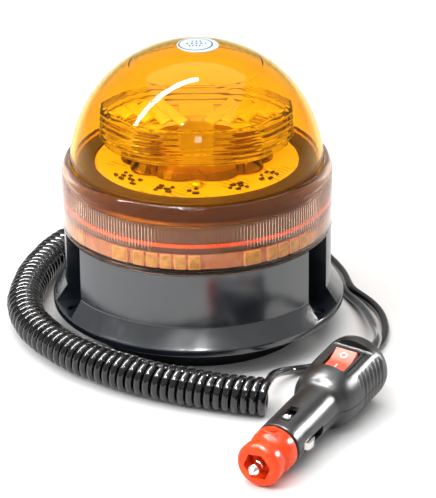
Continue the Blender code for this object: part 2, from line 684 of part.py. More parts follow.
def rocker_switch(frame):
    """Snap-in switch frame and its rocker, which turns on pins across the plug."""
    length, width, height = SWITCH_SIZE
    top = FLAT_H + 0.0010
    body = block("switch_frame", (length, width, height), BLACK)
    place(body, (ROCKER_S, 0, top - height / 2), parent=frame)
    well = block("switch_well", (length - 0.0030, 2 * ROCKER_HALF[1] + 0.0010, 0.012))
    cut(body, place(well, (ROCKER_S, 0, top - 0.0040), parent=frame))
    pin_hole = rod("rocker_pin_hole", 0.0012, -0.0064, 0.0064, steps=16)
    cut(body, place(pin_hole, (ROCKER_S, 0, ROCKER_H), (90, 0, 0), frame))
    hinge = bpy.data.objects.new("rocker_hinge", None)
    PARTS.objects.link(hinge)
    place(hinge, (ROCKER_S, 0, ROCKER_H), (0, -ROCKER_LEAN, 0), frame)
    half, wide = ROCKER_HALF
    outline = [(-half, 0.0056), (-half, 0.0010), (-0.0040, -0.0022), (0.0040, -0.0022),
               (half, 0.0010), (half, 0.0056), (0.0, 0.0042)]
    rocker = prism("switch_rocker", outline, -wide, wide, RED)
    place(rocker, (0, 0, 0), (90, 0, 0), hinge)
    pin = rod("rocker_pin", 0.0009, -0.0061, 0.0061, steps=16)
    fuse_to(rocker, place(pin, (0, 0, 0), (90, 0, 0), hinge))


def plug_tail(frame):
    relief = turned("plug_strain_relief", [
        (0.0, 0.1080), (0.0027, 0.1080), (0.0030, 0.1060), (0.0042, BODY_END + 0.0030),
        (0.0052, BODY_END + 0.0020), (0.0052, BODY_END + GAP), (0.0027, BODY_END + GAP),
        (0.0027, 0.0910), (0.0, 0.0910),
    ], RUBBER, 20)
    along(frame, relief)


def lighter_plug():
    frame = plug_frame()
    plug_shell("plug_upper_shell", 1, frame)
    plug_shell("plug_lower_shell", -1, frame)
    side_contacts(frame)
    plug_front(frame)
    rocker_switch(frame)
    plug_tail(frame)


# --- cord ---

def cord():
    tube("lead_to_base", smooth_route(LEAD_TO_BASE, 0.0065), CORD_D / 2, CORD, 2)
    lifted = [(x, y, COIL_R + 0.0003) for x, y in COIL_ROUTE]
    tube("curly_lead", smooth_route(lifted, 0.0105), COIL_R, CORD, 4)
    tube("lead_to_plug", smooth_route(LEAD_TO_PLUG, 0.0065), CORD_D / 2, CORD, 2)


magnetic_foot()
base_housing()
cable_gland()
gasket()
driver_board()
inner_drum()
ring_board()
main_board()
optic()
lenses()
lighter_plug()
cord()
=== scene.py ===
"""Looks of an amber LED warning beacon with a magnetic foot, a curly lead and a lighter plug.

Metres, Z up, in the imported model's own frame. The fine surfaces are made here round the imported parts.
"""

import json
import math

import bmesh
import bpy
from mathutils import Euler, Matrix, Vector

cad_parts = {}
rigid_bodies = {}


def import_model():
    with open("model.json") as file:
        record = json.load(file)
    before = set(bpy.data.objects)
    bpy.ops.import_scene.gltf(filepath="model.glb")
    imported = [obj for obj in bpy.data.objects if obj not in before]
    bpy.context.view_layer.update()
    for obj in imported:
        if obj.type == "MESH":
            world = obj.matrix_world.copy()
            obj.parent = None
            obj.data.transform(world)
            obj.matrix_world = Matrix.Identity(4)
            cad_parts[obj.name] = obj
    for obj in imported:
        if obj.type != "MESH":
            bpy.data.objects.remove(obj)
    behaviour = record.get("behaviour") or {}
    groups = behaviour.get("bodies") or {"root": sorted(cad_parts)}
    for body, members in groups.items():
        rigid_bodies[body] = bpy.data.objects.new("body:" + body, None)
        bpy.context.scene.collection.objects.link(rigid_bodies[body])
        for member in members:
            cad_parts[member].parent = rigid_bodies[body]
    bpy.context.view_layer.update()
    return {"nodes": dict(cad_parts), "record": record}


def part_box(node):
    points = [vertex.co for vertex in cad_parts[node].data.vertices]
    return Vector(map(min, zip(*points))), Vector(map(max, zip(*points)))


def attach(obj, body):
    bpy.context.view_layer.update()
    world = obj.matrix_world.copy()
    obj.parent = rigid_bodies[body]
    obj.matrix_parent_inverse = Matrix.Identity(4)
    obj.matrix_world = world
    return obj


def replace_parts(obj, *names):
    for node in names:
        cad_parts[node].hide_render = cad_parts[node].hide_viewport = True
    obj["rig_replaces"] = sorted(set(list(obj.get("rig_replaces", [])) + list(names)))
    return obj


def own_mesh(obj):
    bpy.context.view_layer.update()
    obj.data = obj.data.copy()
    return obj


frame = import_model()
NODES = frame["nodes"]

# --- the beacon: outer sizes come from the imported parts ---
BAND_LOW, BAND_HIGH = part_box("ring_lens")[0].z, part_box("ring_lens")[1].z
BAND_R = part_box("ring_lens")[1].x
DOME_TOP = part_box("dome_lens")[1].z
HOUSING_LOW, HOUSING_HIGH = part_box("base_housing")[0].z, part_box("base_housing")[1].z
FLANGE_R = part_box("base_housing")[1].x
FOOT_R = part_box("rubber_foot")[1].x
FOOT_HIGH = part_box("rubber_foot")[1].z
BOARD_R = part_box("main_board")[1].x
BOARD_Z = 0.0838  # top of the round board
DRUM_R = 0.0590  # wall behind the ring lens
DOME_R = 0.0603
DOME_Z = DOME_TOP - DOME_R  # centre of the dome's sphere
DOME_WALL = 0.0022
CREST_R = 0.0310  # fine line moulded round the inside of the dome
LABEL_EDGE = 80.8  # the round label ends at this elevation, in degrees
GAP = 0.0003  # between pieces that touch
HOUSING_R = BAND_R - 0.0004
WALL_T = 0.0026
BEVEL_Z = 0.0251  # top of the sloping skirt
FLOOR_Z = 0.0173  # floor of the screw pockets, and top of the flange
POCKET_ANGLES = (200.6, 333.1, 86.9)
POCKET_HALF = 9.0  # half the width of a screw pocket, in degrees
POCKET_R = 0.0535  # its inner wall
SLOT_RING = 0.0626  # circle of the mounting slots
SLOT_HALF = 0.0021  # half the width of a slot
SLOT_RUN = 0.00165  # how far its round ends lie on both sides of the circle
POST_ANGLES = (20.0, 140.0, 260.0)
POST_RING = 0.0500  # circle of the posts that hold the drum
BOARD_SCREW_RING = 0.0335
GLAND_ANGLE = 64.0
GLAND_Z = 0.0340
FLUTES = 240  # fine flutes round the ring lens
FLUTE_TOP = 0.0772
FLUTE_DEPTH, FLUTE_FAINT = 0.00023, 0.00004
BEAD_Z = 0.0800  # beaded line round the ring lens
BEAD_HALF, BEAD_DEPTH = 0.00045, 0.00018
LAMP_TOP = 0.0618  # the flutes are faint below this height
LAMP_Z = 0.0577  # middle of the row of lamps
LAMP_START = -126.0  # angle of the first lamp, a wide one as in every group
LAMP_WIDE, LAMP_NARROW, LAMP_HEIGHT = 0.0082, 0.0053, 0.0068
CHIP_ANGLES = (-116, -109, -93, -66, -59, -30, -150, -143, 20, 80, 140, -40, -136)
PEDESTAL_R, PEDESTAL_LOBES, PEDESTAL_LOBE = 0.0300, 10, 0.0030
PEDESTAL_STRETCH = 1.20  # along X
PEDESTAL_TOP, PEDESTAL_BORE = 0.0912, 0.0215
OPTIC_LOW, OPTIC_HIGH = 0.0920, 0.1095
OPTIC_WIDEST = 0.0985
OPTIC_RIBS = 6
BAR_Z = 0.1072  # slanted bars inside the optic
BAR_LENGTHS = (0.030, 0.028, 0.022, 0.012)
BAR_START, BAR_PITCH = 0.0120, 0.0072

# --- the lighter plug: local X runs from its tip to its tail, local Z is up ---
PLUG_TIP = (0.0240, -0.1699, 0.01045)
PLUG_TURN = (4.0, -3.6, 60.3)
PLUG = Matrix.LocRotScale(Vector(PLUG_TIP), Euler([math.radians(a) for a in PLUG_TURN]), None)
ALONG = PLUG @ Matrix.Rotation(math.radians(90), 4, "Y")  # a lathe's Z along the plug
BARREL_R = 0.0107
BODY_R = 0.0155  # the thick end that holds the switch
BODY_END = 0.0996
ADAPTER_LENGTH = 0.0188
SPRING_SPAN = (0.0333, 0.0460)
SPRING_TURNS = 8
SPRING_R, SPRING_WIRE = 0.0021, 0.00025
FLAT_SPAN = (0.0682, 0.0915)  # flat under the switch
FLAT_H = 0.0119
GRIP_SPAN = (0.0715, 0.0945)  # curved grip grooves
GRIP_PITCH, GRIP_DEPTH = 0.0033, 0.00055
ROCKER_S = 0.0788  # the rocker's hinge: along the plug, and above its axis
ROCKER_H = 0.0076
ROCKER_LEAN = 10.5
SWITCH_SIZE = (0.0204, 0.0140)
SLOT_START = 0.0240
CONTACTS = {"top": (-1.0, 0.0360), "right": (93.0, 0.0415), "left": (213.0, 0.0415)}  # turn, slot end
BALL_S, BALL_R = 0.0270, 0.0019

# --- camera: where it looks, how far off, how high and how tilted ---
CAMERA_AIM = (0.0097, 0.0145, 0.0300)
CAMERA_DISTANCE = 1.3826
CAMERA_ELEVATION = 25.683
CAMERA_ROLL = -0.53
CAMERA_LENS = 206.24

# --- the cord ---
CORD_D = 0.0040
COIL_R = 0.0090  # outer radius of the curly part
TURN_R = COIL_R - CORD_D / 2  # radius of the helix
TURN_POINTS = 20
LEAD_TO_BASE = (
    (0.0350, 0.0718, 0.0340), (0.0377, 0.0771, 0.0337), (0.0412, 0.0822, 0.0318),
    (0.0455, 0.0858, 0.0272), (0.0502, 0.0868, 0.0205), (0.0545, 0.0850, 0.0130),
    (0.0582, 0.0808, 0.0068), (0.0615, 0.0752, 0.0032), (0.0648, 0.0680, 0.0021),
    (0.0680, 0.0600, 0.0021), (0.0708, 0.0515, 0.0021), (0.0730, 0.0430, 0.0021),
    (0.0742, 0.0340, 0.0021),
    (0.0758, 0.0262, 0.0021), (0.0797, 0.0190, 0.0021), (0.0843, 0.0105, 0.0021),
    (0.0880, -0.0010, 0.0021), (0.0893, -0.0140, 0.0021), (0.0885, -0.0260, 0.0021),
    (0.0845, -0.0380, 0.0021), (0.0765, -0.0480, 0.0021), (0.0660, -0.0545, 0.0021),
    (0.0560, -0.0580, 0.0021), (0.0485, -0.0606, 0.0023), (0.0425, -0.0646, 0.0036),
    (0.0379, -0.0718, 0.0066), (0.0350, -0.0796, 0.0096), (0.0328, -0.0885, 0.0128),
    (0.0317, -0.0969, 0.0155), (0.0303, -0.1018, 0.0163),
)
COIL_ROUTE = (
    (0.0277, -0.1015), (0.0150, -0.0982), (0.0000, -0.0930), (-0.0225, -0.0830),
    (-0.0455, -0.0675), (-0.0645, -0.0480), (-0.0785, -0.0245), (-0.0836, -0.0020),
    (-0.0825, 0.0205), (-0.0775, 0.0430), (-0.0690, 0.0630), (-0.0590, 0.0770),
)
LEAD_TO_PLUG = (
    (-0.0576, 0.0790, 0.0021), (-0.0541, 0.0776, 0.0021), (-0.0500, 0.0772, 0.0021),
    (-0.0430, 0.0784, 0.0021), (-0.0340, 0.0802, 0.0021), (-0.0220, 0.0817, 0.0021),
    (-0.0080, 0.0826, 0.0021), (0.0060, 0.0824, 0.0021), (0.0200, 0.0800, 0.0021),
    (0.0330, 0.0745, 0.0021), (0.0450, 0.0665, 0.0021), (0.0555, 0.0560, 0.0021),
    (0.0635, 0.0435, 0.0021), (0.0695, 0.0305, 0.0021), (0.0740, 0.0178, 0.0023),
    (0.0782, 0.0045, 0.0040), (0.0809, -0.0095, 0.0060), (0.0825, -0.0235, 0.0081),
    (0.0834, -0.0365, 0.0104), (0.0834, -0.0480, 0.0132), (0.0827, -0.0585, 0.0158),
    (0.0812, -0.0665, 0.0171), (0.0795, -0.0724, 0.0175), (0.0776, -0.0760, 0.0173),
)


# --- materials ---

def new_material(name):
    """A new material, its node tree and its shader."""
    material = bpy.data.materials.new(name)
    material.use_nodes = True
    tree = material.node_tree
    return material, tree, tree.nodes["Principled BSDF"]


def node_of(tree, kind, **inputs):
    """A new node. Each input is a plain value or a socket, and its underscores stand for spaces."""
    node = tree.nodes.new("ShaderNode" + kind)
    for name, value in inputs.items():
        socket = node.inputs[name.replace("_", " ")]
        if isinstance(value, bpy.types.NodeSocket):
            tree.links.new(value, socket)
        else:
            socket.default_value = value
    return node


def place_of(tree, stretch=(1, 1, 1)):
    """Where a point is on its piece, in metres."""
    where = node_of(tree, "TexCoord").outputs["Object"]
    return node_of(tree, "Mapping", Vector=where, Scale=stretch).outputs["Vector"]


def noise(tree, scale, detail=3.0, rough=0.55, stretch=(1, 1, 1)):
    """A noise value over the piece."""
    where = place_of(tree, stretch)
    return node_of(tree, "TexNoise", Vector=where, Scale=scale, Detail=detail, Roughness=rough).outputs["Fac"]


def spread(tree, value, low, high, start=0.35, end=0.65):
    """A value between start and end, spread over low to high."""
    node = node_of(tree, "MapRange", Value=value, From_Min=start, From_Max=end, To_Min=low, To_Max=high)
    return node.outputs["Result"]


def blend_colours(tree, value, first, second):
    """The first colour at 0, the second at 1."""
    node = tree.nodes.new("ShaderNodeMix")
    node.data_type = "RGBA"
    node.inputs["A"].default_value = (*first, 1)
    node.inputs["B"].default_value = (*second, 1)
    tree.links.new(value, node.inputs["Factor"])
    return node.outputs["Result"]


def bump(tree, shader, height, distance):
    """Relief on a shader, as deep as the distance."""
    node = node_of(tree, "Bump", Height=height, Distance=distance)
    tree.links.new(node.outputs["Normal"], shader.inputs["Normal"])


def surface(name, dark, light, gloss, grain=1400.0, depth=0.00002, metallic=0.0, coat=0.0,
            mottle=60.0, stretch=(1, 1, 1), specular=0.5, index=1.5):
    """A moulded, cast or plated surface: two tones, uneven gloss and a fine grain."""
    material, tree, shader = new_material(name)
    tone = spread(tree, noise(tree, mottle, 4.0), 0.0, 1.0)
    tree.links.new(blend_colours(tree, tone, dark, light), shader.inputs["Base Color"])
    wear = noise(tree, mottle * 2.7, 5.0, 0.6, stretch)
    tree.links.new(spread(tree, wear, *gloss), shader.inputs["Roughness"])
    bump(tree, shader, noise(tree, grain, 2.0, 0.5, stretch), depth)
    for setting, value in (("Metallic", metallic), ("Specular IOR Level", specular), ("IOR", index),
                           ("Coat Weight", coat), ("Coat Roughness", 0.05)):
        shader.inputs[setting].default_value = value
    return material


def tinted_clear(name, tint, gloss, flow=45.0, index=1.5):
    """Clear coloured plastic. Light from the lamps passes straight through it, tinted at each face."""
    material, tree, shader = new_material(name)
    streak = spread(tree, noise(tree, flow, 3.0, 0.5, (1, 1, 2.5)), 0.0, 1.0)
    deep = tuple(c * 0.94 for c in tint)
    tree.links.new(blend_colours(tree, streak, deep, tint), shader.inputs["Base Color"])
    tree.links.new(spread(tree, noise(tree, flow * 6), *gloss), shader.inputs["Roughness"])
    bump(tree, shader, noise(tree, flow * 3, 2.0), 0.00001)
    shader.inputs["Transmission Weight"].default_value = 1.0
    shader.inputs["IOR"].default_value = index
    open_way = node_of(tree, "BsdfTransparent", Color=(*[math.sqrt(c) for c in tint], 1))
    path = node_of(tree, "LightPath")
    straight = arith(tree, "MAXIMUM", path.outputs["Is Shadow Ray"], path.outputs["Is Diffuse Ray"])
    mix = node_of(tree, "MixShader", Fac=straight)
    tree.links.new(shader.outputs["BSDF"], mix.inputs[1])
    tree.links.new(open_way.outputs["BSDF"], mix.inputs[2])
    tree.links.new(mix.outputs["Shader"], tree.nodes["Material Output"].inputs["Surface"])
    return material


def arith(tree, operation, first, second=None):
    """A math node. Each input is a number or a socket."""
    node = tree.nodes.new("ShaderNodeMath")
    node.operation = operation
    for socket, value in zip(node.inputs, (first, second)):
        if value is None:
            continue
        if isinstance(value, (int, float)):
            socket.default_value = value
        else:
            tree.links.new(value, socket)
    return node.outputs["Value"]


def axes_of(tree):
    """The x, y and z of a point on its piece."""
    node = node_of(tree, "SeparateXYZ", Vector=place_of(tree))
    return node.outputs["X"], node.outputs["Y"], node.outputs["Z"]


def within(tree, value, middle, half):
    """1 where a value lies within half of the middle."""
    return arith(tree, "LESS_THAN", arith(tree, "ABSOLUTE", arith(tree, "SUBTRACT", value, middle)), half)


def label_paper():
    """White film with a thin blue ring and rows of plain dashes."""
    material, tree, shader = new_material("white_label")
    x, y, _ = axes_of(tree)
    squares = arith(tree, "ADD", arith(tree, "MULTIPLY", x, x), arith(tree, "MULTIPLY", y, y))
    radius = arith(tree, "SQRT", squares)
    ink = within(tree, radius, 0.0078, 0.00034)
    for middle, wide, pace in ((0.0030, 0.0030, 3400.0), (0.0, 0.0050, 2900.0), (-0.0030, 0.0036, 3900.0)):
        row = arith(tree, "MULTIPLY", within(tree, y, middle, 0.0008), within(tree, x, 0.0, wide))
        dashes = arith(tree, "GREATER_THAN", arith(tree, "SINE", arith(tree, "MULTIPLY", x, pace)), 0.1)
        ink = arith(tree, "MAXIMUM", ink, arith(tree, "MULTIPLY", row, dashes))
    tree.links.new(blend_colours(tree, ink, (0.56, 0.63, 0.68), (0.01, 0.03, 0.10)),
                   shader.inputs["Base Color"])
    tree.links.new(spread(tree, noise(tree, 900), 0.3, 0.5), shader.inputs["Roughness"])
    bump(tree, shader, noise(tree, 1800), 0.000006)
    return material


def board_mask():
    """Pale solder mask with darker copper tracks and pads showing through it."""
    material, tree, shader = new_material("board_mask")
    x, y, _ = axes_of(tree)
    wander = arith(tree, "MULTIPLY", noise(tree, 70.0, 1.0), 0.012)
    tracks = arith(tree, "SINE", arith(tree, "MULTIPLY", arith(tree, "ADD", arith(tree, "ADD", x, y), wander),
                                       1500.0))
    shown = arith(tree, "MULTIPLY", arith(tree, "GREATER_THAN", tracks, 0.55),
                  arith(tree, "GREATER_THAN", noise(tree, 55.0, 1.0), 0.54))
    tree.links.new(blend_colours(tree, shown, (0.86, 0.84, 0.76), (0.52, 0.46, 0.30)),
                   shader.inputs["Base Color"])
    tree.links.new(spread(tree, noise(tree, 300), 0.28, 0.42), shader.inputs["Roughness"])
    bump(tree, shader, shown, 0.00003)
    return material


def drum_plastic():
    """Moulded plastic, dark on the upper lip and paler on the wall behind the ring lens."""
    material, tree, shader = new_material("drum_plastic")
    _, _, z = axes_of(tree)
    up = spread(tree, z, 0.0, 1.0, 0.0715, 0.0760)
    tone = spread(tree, noise(tree, 60.0), 0.0, 0.25)
    tree.links.new(blend_colours(tree, arith(tree, "MAXIMUM", up, tone), (0.17, 0.15, 0.135),
                                 (0.045, 0.030, 0.020)), shader.inputs["Base Color"])
    tree.links.new(spread(tree, noise(tree, 160.0), 0.30, 0.42), shader.inputs["Roughness"])
    bump(tree, shader, noise(tree, 1400), 0.00001)
    return material


HOUSING = surface("satin_black_plastic", (0.002, 0.005, 0.009), (0.005, 0.008, 0.013), (0.17, 0.23),
                  grain=2600, depth=0.000006, specular=0.95, index=1.63)
PLUG_BLACK = surface("plug_plastic", (0.004, 0.004, 0.004), (0.008, 0.008, 0.008), (0.29, 0.38),
                     grain=3200, depth=0.000008, specular=0.65)
RUBBER = surface("black_rubber", (0.003, 0.004, 0.005), (0.007, 0.008, 0.009), (0.34, 0.46),
                 grain=1800, depth=0.00002, specular=0.15)
JACKET = surface("cord_jacket", (0.002, 0.002, 0.003), (0.004, 0.004, 0.005), (0.08, 0.14),
                 grain=1500, depth=0.00001, coat=0.3)
CARRIER = drum_plastic()
WHITE_BOARD = surface("white_solder_mask", (0.80, 0.79, 0.74), (0.88, 0.87, 0.82), (0.3, 0.4), mottle=120)
GREEN_BOARD = surface("green_solder_mask", (0.01, 0.12, 0.04), (0.02, 0.18, 0.06), (0.3, 0.42), mottle=140)
SILVER = surface("nickel_plate", (0.72, 0.71, 0.68), (0.86, 0.85, 0.82), (0.10, 0.22), metallic=1.0,
                 mottle=300, depth=0.000004)
STEEL = surface("zinc_steel", (0.52, 0.52, 0.50), (0.68, 0.68, 0.66), (0.25, 0.42), metallic=1.0, mottle=200)
FERRITE = surface("ferrite", (0.035, 0.035, 0.04), (0.06, 0.06, 0.065), (0.45, 0.6), metallic=0.3)
RED = surface("red_plastic", (0.80, 0.045, 0.002), (0.90, 0.070, 0.006), (0.24, 0.34), mottle=90,
              specular=0.30)
ROCKER_RED = surface("rocker_plastic", (0.80, 0.10, 0.05), (0.88, 0.15, 0.09), (0.30, 0.42), mottle=150,
                     specular=0.25)
MIRROR = surface("reflector_silver", (0.92, 0.92, 0.88), (0.97, 0.97, 0.94), (0.18, 0.30), metallic=0.10,
                 mottle=300, depth=0.000004)
STRIP = surface("lamp_strip_film", (0.52, 0.34, 0.25), (0.66, 0.44, 0.33), (0.3, 0.4), mottle=200,
                stretch=(1, 1, 0.1))
CHIP = surface("chip_plastic", (0.02, 0.02, 0.02), (0.06, 0.05, 0.05), (0.3, 0.45), mottle=500)
MARK = surface("printed_mark", (0.90, 0.72, 0.64), (0.95, 0.80, 0.72), (0.35, 0.5), mottle=500)
RIDGE = surface("ridge_plastic", (0.85, 0.16, 0.07), (0.95, 0.22, 0.10), (0.2, 0.3), mottle=200)
LAMP_CASE = surface("lamp_case", (0.94, 0.60, 0.40), (0.98, 0.70, 0.48), (0.3, 0.4), mottle=300)
PHOSPHOR = surface("lamp_phosphor", (0.46, 0.40, 0.14), (0.78, 0.66, 0.26), (0.25, 0.4), mottle=260)
PAPER = label_paper()
BOARD_MASK = board_mask()
FUSE_GLASS = tinted_clear("fuse_glass", (0.85, 0.92, 0.88), (0.02, 0.06), flow=200)
AMBER = tinted_clear("amber_dome", (1.0, 0.62, 0.045), (0.01, 0.03), index=1.2)
AMBER_RING = tinted_clear("amber_ring", (0.95, 0.68, 0.52), (0.03, 0.07), index=1.3)
CLEAR = tinted_clear("clear_optic", (0.99, 0.98, 0.93), (0.01, 0.03), index=1.42)
PEDESTAL = tinted_clear("pedestal_plastic", (0.52, 0.34, 0.20), (0.06, 0.12), index=1.45)


def finish_parts(material, *names):
    """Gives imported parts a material."""
    for name in names:
        data = NODES[name].data
        data.materials.clear()
        data.materials.append(material)


def finish_cad():
    """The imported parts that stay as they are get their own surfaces."""
    finish_parts(RUBBER, "base_gasket")
    finish_parts(FERRITE, "magnet_ring")
    finish_parts(STEEL, "magnet_pole_plate", "magnet_spacer", "magnet_bolt", "magnet_washer",
                 "heat_spreader", *[n for n in NODES if "screw" in n or "spacer_" in n])
    finish_parts(GREEN_BOARD, "driver_board")
    finish_parts(WHITE_BOARD, "lamp_tower")
    finish_parts(SILVER, "side_contact_right", "side_contact_left")
    finish_parts(PLUG_BLACK, "switch_frame")
    finish_parts(RED, "plug_nose")
    finish_parts(FUSE_GLASS, "plug_fuse")


# --- mesh making ---

def placed(name, data):
    """A new object in the scene."""
    thing = bpy.data.objects.new(name, data)
    bpy.context.scene.collection.objects.link(thing)
    return thing


def made(name, mesh, material, body="root", replaces=(), sharp=32.0):
    """A finished piece: smooth but for its sharp edges, riding on its body."""
    mesh.name = name
    mesh.shade_smooth()
    mesh.set_sharp_from_angle(angle=math.radians(sharp))
    mesh.materials.append(material)
    piece = placed(name, mesh)
    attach(piece, body)
    if replaces:
        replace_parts(piece, *replaces)
    return piece


def baked(form, matrix=None):
    """The finished mesh of a form, moved if there is a matrix."""
    if matrix is not None:
        bmesh.ops.transform(form, matrix=matrix, verts=form.verts)
    mesh = bpy.data.meshes.new("mesh")
    form.to_mesh(mesh)
    form.free()
    return mesh


def rounded(profile, radius, steps=4):
    """A closed profile with its corners rounded, as far as their sides allow."""
    points = [Vector(p) for p in profile]
    out = []
    for i, corner in enumerate(points):
        before, after = points[i - 1], points[(i + 1) % len(points)]
        on_axis = corner.x < 1e-6
        to_before, to_after = before - corner, after - corner
        reach = min(radius, to_before.length * 0.45, to_after.length * 0.45)
        if on_axis or reach < 1e-6:
            out.append(corner)
            continue
        a = corner + to_before.normalized() * reach
        b = corner + to_after.normalized() * reach
        for k in range(steps + 1):
            t = k / steps
            out.append(a.lerp(corner, t).lerp(corner.lerp(b, t), t))
    return out


def lathe(profile, steps=192, wave=None):
    """The mesh of a closed profile of (radius, height) turned about Z. It runs down the outer side.

    wave, if any, gives what to add to the radius at an angle, a radius and a height.
    """
    form = bmesh.new()
    rings = []
    for r, z in profile:
        if r < 1e-6:
            rings.append([form.verts.new((0, 0, z))])
            continue
        ring = []
        for k in range(steps):
            a = 2 * math.pi * k / steps
            out = r + (wave(a, r, z) if wave else 0.0)
            ring.append(form.verts.new((out * math.cos(a), out * math.sin(a), z)))
        rings.append(ring)
    for above, below in zip(rings, rings[1:] + rings[:1]):
        if len(above) == 1 and len(below) == 1:
            continue
        for k in range(steps):
            n = (k + 1) % steps
            if len(above) == 1:
                form.faces.new((above[0], below[k], below[n]))
            elif len(below) == 1:
                form.faces.new((above[k], below[0], above[n]))
            else:
                form.faces.new((above[k], below[k], below[n], above[n]))
    return baked(form)


def box_mesh(size, matrix=None, bevel=0.0):
    """A box centred on its origin, with rounded edges if bevel is given."""
    form = bmesh.new()
    bmesh.ops.create_cube(form, size=1.0)
    bmesh.ops.scale(form, vec=size, verts=form.verts)
    if bevel:
        bmesh.ops.bevel(form, geom=form.edges[:], offset=bevel, segments=3, profile=0.5, affect="EDGES")
    return baked(form, matrix)


def rod_mesh(radius, low, high, matrix=None, steps=48):
    """A round rod along Z."""
    form = bmesh.new()
    bmesh.ops.create_cone(form, cap_ends=True, segments=steps, radius1=radius, radius2=radius,
                          depth=high - low, matrix=shift(0, 0, (low + high) / 2))
    return baked(form, matrix)


def stack(levels, matrix=None):
    """The mesh through flat outlines of equal length, given as (outline, height) upwards."""
    form = bmesh.new()
    rings = [[form.verts.new((x, y, z)) for x, y in outline] for outline, z in levels]
    count = len(rings[0])
    for below, above in zip(rings, rings[1:]):
        for i in range(count):
            j = (i + 1) % count
            form.faces.new((below[i], below[j], above[j], above[i]))
    form.faces.new(rings[0][::-1])
    form.faces.new(rings[-1])
    bmesh.ops.recalc_face_normals(form, faces=form.faces)
    return baked(form, matrix)


def wire_mesh(path, radius, sides=10):
    """A round wire along a path, closed at both ends."""
    verts, faces = [], []
    for i, at in enumerate(path):
        run = (path[min(i + 1, len(path) - 1)] - path[max(i - 1, 0)]).normalized()
        out = run.orthogonal() if i == 0 else (out - out.dot(run) * run)
        out.normalize()
        side = run.cross(out)
        for k in range(sides):
            a = 2 * math.pi * k / sides
            verts.append(at + radius * (math.cos(a) * out + math.sin(a) * side))
    for i in range(len(path) - 1):
        for k in range(sides):
            a, b = i * sides + k, i * sides + (k + 1) % sides
            faces.append((a, b, b + sides, a + sides))
    faces.append(tuple(reversed(range(sides))))
    faces.append(tuple(range((len(path) - 1) * sides, len(path) * sides)))
    mesh = bpy.data.meshes.new("wire")
    mesh.from_pydata(verts, [], faces)
    return mesh


def moved(mesh, matrix):
    """The same mesh, moved."""
    mesh.transform(matrix)
    return mesh


def joined(*meshes):
    """One mesh of several separate ones."""
    form = bmesh.new()
    for mesh in meshes:
        form.from_mesh(mesh)
    return baked(form)


def carve(mesh, *others, how="DIFFERENCE"):
    """The mesh with the others cut out of it, or added to it, or only what lies inside them."""
    body = placed("carved", mesh)
    tools = []
    for other in others:
        tool = placed("tool", other)
        tools.append(tool)
        modifier = body.modifiers.new("step", "BOOLEAN")
        modifier.operation = how
        modifier.solver = "EXACT"
        modifier.object = tool
    drawn = body.evaluated_get(bpy.context.evaluated_depsgraph_get())
    result = bpy.data.meshes.new_from_object(drawn)
    for old in [body, *tools]:
        bpy.data.objects.remove(old, do_unlink=True)
    return result


def spin(degrees, axis="Z"):
    """A turn about an axis through the origin."""
    return Matrix.Rotation(math.radians(degrees), 4, axis)


def shift(x, y, z):
    """A straight move."""
    return Matrix.Translation((x, y, z))


def arc(radius, height, start, end, count, ripple=0.0, pitch=1.0):
    """Profile points on an arc round (0, height), with an optional ripple in its radius."""
    points = []
    for i in range(count + 1):
        a = math.radians(start + (end - start) * i / count)
        r = radius + ripple * math.sin(2 * math.pi * radius * a / pitch)
        points.append((max(0.0, r * math.cos(a)), height + r * math.sin(a)))
    return points


# --- base ---

def pocket_wedge(angle, grow, low):
    """The space of one screw pocket, open outwards."""
    half = math.radians(POCKET_HALF) + grow / HOUSING_R
    inner, outer = POCKET_R - grow, 0.080
    outline = [(r * math.cos(a), r * math.sin(a)) for r, a in
               ((inner, -half), (outer, -half), (outer, half), (inner, half))]
    return stack([(outline, low), (outline, 0.064)], spin(angle))


def slot_hole(angle):
    """The long screw hole in a pocket's floor."""
    outline = []
    for side, start in ((1, -90), (-1, 90)):
        for i in range(17):
            a = math.radians(start + 11.25 * i)
            outline.append((SLOT_RING + side * SLOT_RUN + SLOT_HALF * math.cos(a), SLOT_HALF * math.sin(a)))
    return stack([(outline, 0.010), (outline, 0.0205)], spin(angle))


def post_place(angle):
    """Where the post at an angle stands."""
    return spin(angle) @ shift(POST_RING, 0, 0)


